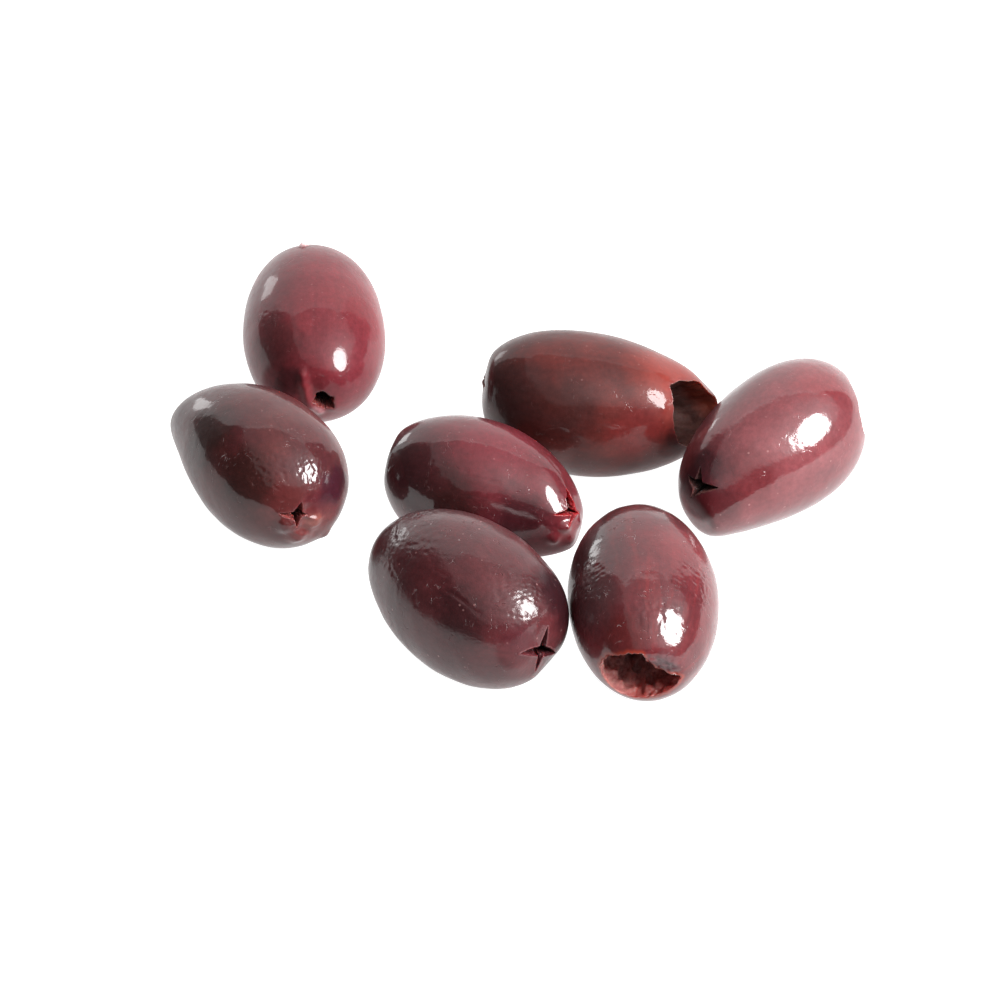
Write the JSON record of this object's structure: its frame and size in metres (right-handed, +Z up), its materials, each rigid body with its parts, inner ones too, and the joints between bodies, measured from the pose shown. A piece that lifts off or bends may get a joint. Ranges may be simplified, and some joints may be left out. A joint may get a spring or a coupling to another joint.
{
  "type": "pitted olives",
  "caption": "Loose group of glossy dark purple pitted olives lying on their sides, with the pitting cuts and open stone hollows showing at their ends.",
  "frame": {"origin": "on the table, under the middle of the group's footprint", "axes": "+Z up, +X to the right and +Y away from the side that the open ends face"},
  "size_m": [0.0836, 0.0793, 0.0181],
  "materials": {
    "rosy_olive_skin": "wet, oily and smooth, rosy red, darker towards one side",
    "brown_purple_olive_skin": "wet, oily and smooth, brown purple with a redder torn end",
    "red_brown_olive_skin": "wet, oily and smooth, dark brown turning brick red at the open end",
    "crimson_olive_skin": "wet, oily and smooth, crimson with dark ends",
    "pink_olive_skin": "wet, oily and smooth, pale pinkish red",
    "dark_plum_olive_skin": "wet and oily, dark plum with fine wrinkles and pale flecks",
    "maroon_olive_skin": "wet, oily and smooth, maroon with redder streaks"
  },
  "bodies": {
    "root": {"olive_back_left": "rosy_olive_skin", "olive_left": "brown_purple_olive_skin", "olive_back_middle": "red_brown_olive_skin", "olive_middle": "crimson_olive_skin", "olive_right": "pink_olive_skin", "olive_front_left": "dark_plum_olive_skin", "olive_front_right": "maroon_olive_skin"}
  },
  "joints": []
}
